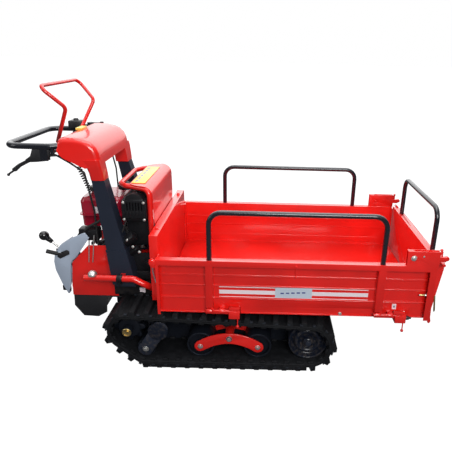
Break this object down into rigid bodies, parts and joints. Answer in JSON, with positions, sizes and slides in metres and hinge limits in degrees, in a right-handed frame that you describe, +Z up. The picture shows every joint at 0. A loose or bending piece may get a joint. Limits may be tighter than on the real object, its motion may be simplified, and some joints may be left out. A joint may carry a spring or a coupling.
{
  "type": "power wheelbarrow",
  "caption": "Walk-behind tracked power wheelbarrow with drop-side bed, guard hoops, engine, U handlebar, drive loop and levers.",
  "frame": {"origin": "on the ground under the centre of the machine's outline", "axes": "+X forward towards the tailgate, +Y to the machine's left, +Z up"},
  "size_m": [1.789, 0.79, 1.163],
  "materials": {
    "red": "gloss",
    "post_blue": "satin",
    "black_tube": "satin",
    "track_rubber": "matte",
    "belt_rubber": "matte",
    "black_iron": "satin",
    "engine_alloy": "cast",
    "engine_black": "satin",
    "black_plastic": "matte",
    "tank_crimson": "gloss",
    "cover_grey": "gloss",
    "bright_steel": "polished"
  },
  "bodies": {
    "chassis": {"chassis_frame": "red", "track_frames": "post_blue", "track_belt_right": "track_rubber", "track_belt_left": "track_rubber", "transmission_case": "black_iron", "engine_block": "engine_alloy", "engine_shroud": "engine_black", "muffler": "engine_black", "air_cleaner": "black_plastic", "carburettor": "engine_alloy", "fuel_tank": "tank_crimson", "drive_belt": "belt_rubber", "side_covers": "red", "belly_cover": "black_plastic", "control_cover": "cover_grey", "uprights": "post_blue", "console_cover": "red", "handlebar": "black_tube", "side_tubes": "red", "guard_frame": "red", "guard_panel": "red", "control_cables": "belt_rubber", "chassis_bolts": "bright_steel"},
    "sprocket_right": {"sprocket_right": "black_iron"},
    "idler_right": {"idler_right": "black_iron"},
    "tail_roller_right": {"tail_roller_right": "black_iron"},
    "rocker_right": {"rocker_right": "red"},
    "roller_front_right": {"roller_front_right": "black_iron"},
    "roller_rear_right": {"roller_rear_right": "black_iron"},
    "sprocket_left": {"sprocket_left": "black_iron"},
    "idler_left": {"idler_left": "black_iron"},
    "tail_roller_left": {"tail_roller_left": "black_iron"},
    "rocker_left": {"rocker_left": "red"},
    "roller_front_left": {"roller_front_left": "black_iron"},
    "roller_rear_left": {"roller_rear_left": "black_iron"},
    "engine_pulley": {"engine_pulley": "black_iron"},
    "gearbox_pulley": {"gearbox_pulley": "black_iron"},
    "bed": {"bed_floor": "red", "bed_subframe": "red", "head_board": "red"},
    "arms_right": {"arms_right": "red"},
    "side_right": {"side_right": "red", "hoop_right": "black_tube"},
    "latch_right": {"latch_right": "red"},
    "arms_left": {"arms_left": "red"},
    "side_left": {"side_left": "red", "hoop_left": "black_tube"},
    "latch_left": {"latch_left": "red"},
    "tailgate": {"tailgate": "red", "tail_hoop": "black_tube"},
    "dump_latch": {"dump_latch": "bright_steel"},
    "drive_loop": {"drive_loop": "red"},
    "steer_right": {"steer_right": "black_plastic"},
    "steer_left": {"steer_left": "black_plastic"},
    "throttle_lever": {"throttle_lever": "black_plastic"},
    "gear_lever": {"gear_lever": "bright_steel"},
    "slot_lever": {"slot_lever": "black_plastic"},
    "fuel_cap": {"fuel_cap": "black_plastic"},
    "starter_grip": {"starter_grip": "black_plastic"}
  },
  "joints": [
    {"name": "sprocket_spin_right", "type": "hinge", "parent": "chassis", "child": "sprocket_right", "pos_m": [-0.407, -0.29, 0.171], "axis": [0, 1, 0], "continuous": true},
    {"name": "idler_spin_right", "type": "hinge", "parent": "chassis", "child": "idler_right", "pos_m": [0.365, -0.29, 0.121], "axis": [0, 1, 0], "continuous": true},
    {"name": "tail_roller_spin_right", "type": "hinge", "parent": "chassis", "child": "tail_roller_right", "pos_m": [-0.338, -0.29, 0.075], "axis": [0, 1, 0], "continuous": true},
    {"name": "rocker_tilt_right", "type": "hinge", "parent": "chassis", "child": "rocker_right", "pos_m": [0.023, -0.29, 0.135], "axis": [0, 1, 0], "range_deg": [-4, 4], "deforming": ["track_belt_right"]},
    {"name": "roller_front_spin_right", "type": "hinge", "parent": "rocker_right", "child": "roller_front_right", "pos_m": [0.147, -0.29, 0.095], "axis": [0, 1, 0], "continuous": true},
    {"name": "roller_rear_spin_right", "type": "hinge", "parent": "rocker_right", "child": "roller_rear_right", "pos_m": [-0.101, -0.29, 0.095], "axis": [0, 1, 0], "continuous": true},
    {"name": "sprocket_spin_left", "type": "hinge", "parent": "chassis", "child": "sprocket_left", "pos_m": [-0.407, 0.29, 0.171], "axis": [0, 1, 0], "continuous": true},
    {"name": "idler_spin_left", "type": "hinge", "parent": "chassis", "child": "idler_left", "pos_m": [0.365, 0.29, 0.121], "axis": [0, 1, 0], "continuous": true},
    {"name": "tail_roller_spin_left", "type": "hinge", "parent": "chassis", "child": "tail_roller_left", "pos_m": [-0.338, 0.29, 0.075], "axis": [0, 1, 0], "continuous": true},
    {"name": "rocker_tilt_left", "type": "hinge", "parent": "chassis", "child": "rocker_left", "pos_m": [0.023, 0.29, 0.135], "axis": [0, 1, 0], "range_deg": [-4, 4], "deforming": ["track_belt_left"]},
    {"name": "roller_front_spin_left", "type": "hinge", "parent": "rocker_left", "child": "roller_front_left", "pos_m": [0.147, 0.29, 0.095], "axis": [0, 1, 0], "continuous": true},
    {"name": "roller_rear_spin_left", "type": "hinge", "parent": "rocker_left", "child": "roller_rear_left", "pos_m": [-0.101, 0.29, 0.095], "axis": [0, 1, 0], "continuous": true},
    {"name": "gearbox_pulley_spin", "type": "hinge", "parent": "chassis", "child": "gearbox_pulley", "pos_m": [-0.512, 0.121, 0.19], "axis": [0, 1, 0], "continuous": true},
    {"name": "engine_pulley_spin", "type": "hinge", "parent": "chassis", "child": "engine_pulley", "pos_m": [-0.51, 0.121, 0.408], "axis": [0, 1, 0], "continuous": true},
    {"name": "bed_dump", "type": "hinge", "parent": "chassis", "child": "bed", "pos_m": [0.47, 0, 0.258], "axis": [0, 1, 0], "range_deg": [0, 28]},
    {"name": "side_slide_right", "type": "slide", "parent": "bed", "child": "arms_right", "axis": [0, -1, 0], "range_m": [0, 0.13]},
    {"name": "side_fold_right", "type": "hinge", "parent": "arms_right", "child": "side_right", "pos_m": [0.293, -0.384, 0.293], "axis": [1, 0, 0], "range_deg": [0, 90]},
    {"name": "latch_lift_right", "type": "hinge", "parent": "side_right", "child": "latch_right", "pos_m": [0.7615, -0.378, 0.5485], "axis": [0, -1, 0], "range_deg": [0, 60]},
    {"name": "side_slide_left", "type": "slide", "parent": "bed", "child": "arms_left", "axis": [0, 1, 0], "range_m": [0, 0.13]},
    {"name": "side_fold_left", "type": "hinge", "parent": "arms_left", "child": "side_left", "pos_m": [0.293, 0.384, 0.293], "axis": [-1, 0, 0], "range_deg": [0, 90]},
    {"name": "latch_lift_left", "type": "hinge", "parent": "side_left", "child": "latch_left", "pos_m": [0.7615, 0.378, 0.5485], "axis": [0, -1, 0], "range_deg": [0, 60]},
    {"name": "tailgate_fold", "type": "hinge", "parent": "bed", "child": "tailgate", "pos_m": [0.862, 0, 0.266], "axis": [0, 1, 0], "range_deg": [0, 90]},
    {"name": "dump_latch_turn", "type": "hinge", "parent": "chassis", "child": "dump_latch", "pos_m": [-0.334, 0, 0.27], "axis": [0, 1, 0], "range_deg": [0, 20]},
    {"name": "drive_loop_squeeze", "type": "hinge", "parent": "chassis", "child": "drive_loop", "pos_m": [-0.7075, 0, 0.927], "axis": [0, -1, 0], "range_deg": [0, 12], "stiffness_Nm_per_rad": 20, "springref_deg": -11.46},
    {"name": "steer_pull_right", "type": "hinge", "parent": "chassis", "child": "steer_right", "pos_m": [-0.727, -0.2115, 0.878], "axis": [0, 1, 0], "range_deg": [0, 15], "stiffness_Nm_per_rad": 2, "springref_deg": -11.46},
    {"name": "steer_pull_left", "type": "hinge", "parent": "chassis", "child": "steer_left", "pos_m": [-0.727, 0.2115, 0.878], "axis": [0, 1, 0], "range_deg": [0, 15], "stiffness_Nm_per_rad": 2, "springref_deg": -11.46},
    {"name": "throttle_turn", "type": "hinge", "parent": "chassis", "child": "throttle_lever", "pos_m": [-0.69, 0.2185, 0.954], "axis": [0, 0, 1], "range_deg": [0, 60]},
    {"name": "gear_shift", "type": "hinge", "parent": "chassis", "child": "gear_lever", "pos_m": [-0.7, -0.15, 0.418], "axis": [0, 1, 0], "range_deg": [-9, 9]},
    {"name": "slot_lever_shift", "type": "hinge", "parent": "chassis", "child": "slot_lever", "pos_m": [-0.684, -0.165, 0.393], "axis": [0, 1, 0], "range_deg": [-8, 8]},
    {"name": "fuel_cap_turn", "type": "hinge", "parent": "chassis", "child": "fuel_cap", "pos_m": [-0.59, -0.05, 0.7], "axis": [0, 0, 1], "range_deg": [0, 90]},
    {"name": "starter_pull", "type": "slide", "parent": "chassis", "child": "starter_grip", "axis": [-1, 0, 0], "range_m": [0, 0.3], "stiffness_N_per_m": 20, "springref_m": -0.02}
  ],
  "couplings": [
    {"joint": "idler_spin_right", "follows": "sprocket_spin_right", "ratio": 0.7907},
    {"joint": "tail_roller_spin_right", "follows": "sprocket_spin_right", "ratio": 1.7},
    {"joint": "roller_front_spin_right", "follows": "sprocket_spin_right", "ratio": 1.1333},
    {"joint": "roller_rear_spin_right", "follows": "sprocket_spin_right", "ratio": 1.1333},
    {"joint": "idler_spin_left", "follows": "sprocket_spin_left", "ratio": 0.7907},
    {"joint": "tail_roller_spin_left", "follows": "sprocket_spin_left", "ratio": 1.7},
    {"joint": "roller_front_spin_left", "follows": "sprocket_spin_left", "ratio": 1.1333},
    {"joint": "roller_rear_spin_left", "follows": "sprocket_spin_left", "ratio": 1.1333},
    {"joint": "engine_pulley_spin", "follows": "gearbox_pulley_spin", "ratio": 1.4375}
  ]
}
